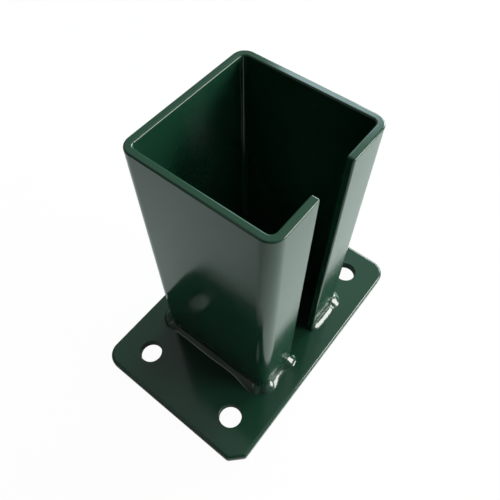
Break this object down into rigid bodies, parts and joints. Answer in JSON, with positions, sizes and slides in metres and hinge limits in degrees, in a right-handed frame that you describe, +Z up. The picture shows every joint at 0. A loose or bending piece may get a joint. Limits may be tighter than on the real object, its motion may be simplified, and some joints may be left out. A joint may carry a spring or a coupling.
{
  "type": "timber post base",
  "caption": "Bolt-down steel post base: a square sleeve with an open front slot, welded upright on a flat drilled base plate.",
  "frame": {"origin": "centre of the base plate's underside", "axes": "+Z up along the sleeve, +X along the plate's long side, -Y towards the sleeve's open slot"},
  "size_m": [0.166, 0.108, 0.166],
  "materials": {
    "green_powder_coat": "glossy dark green powder coat with faint orange peel",
    "coated_weld": "the same glossy coat, thicker and smoother over the weld beads"
  },
  "bodies": {
    "root": {"base_plate": "green_powder_coat", "post_sleeve": "green_powder_coat", "weld_left": "coated_weld", "weld_right": "coated_weld", "weld_rear": "coated_weld", "weld_front_left": "coated_weld", "weld_front_right": "coated_weld"}
  },
  "joints": []
}
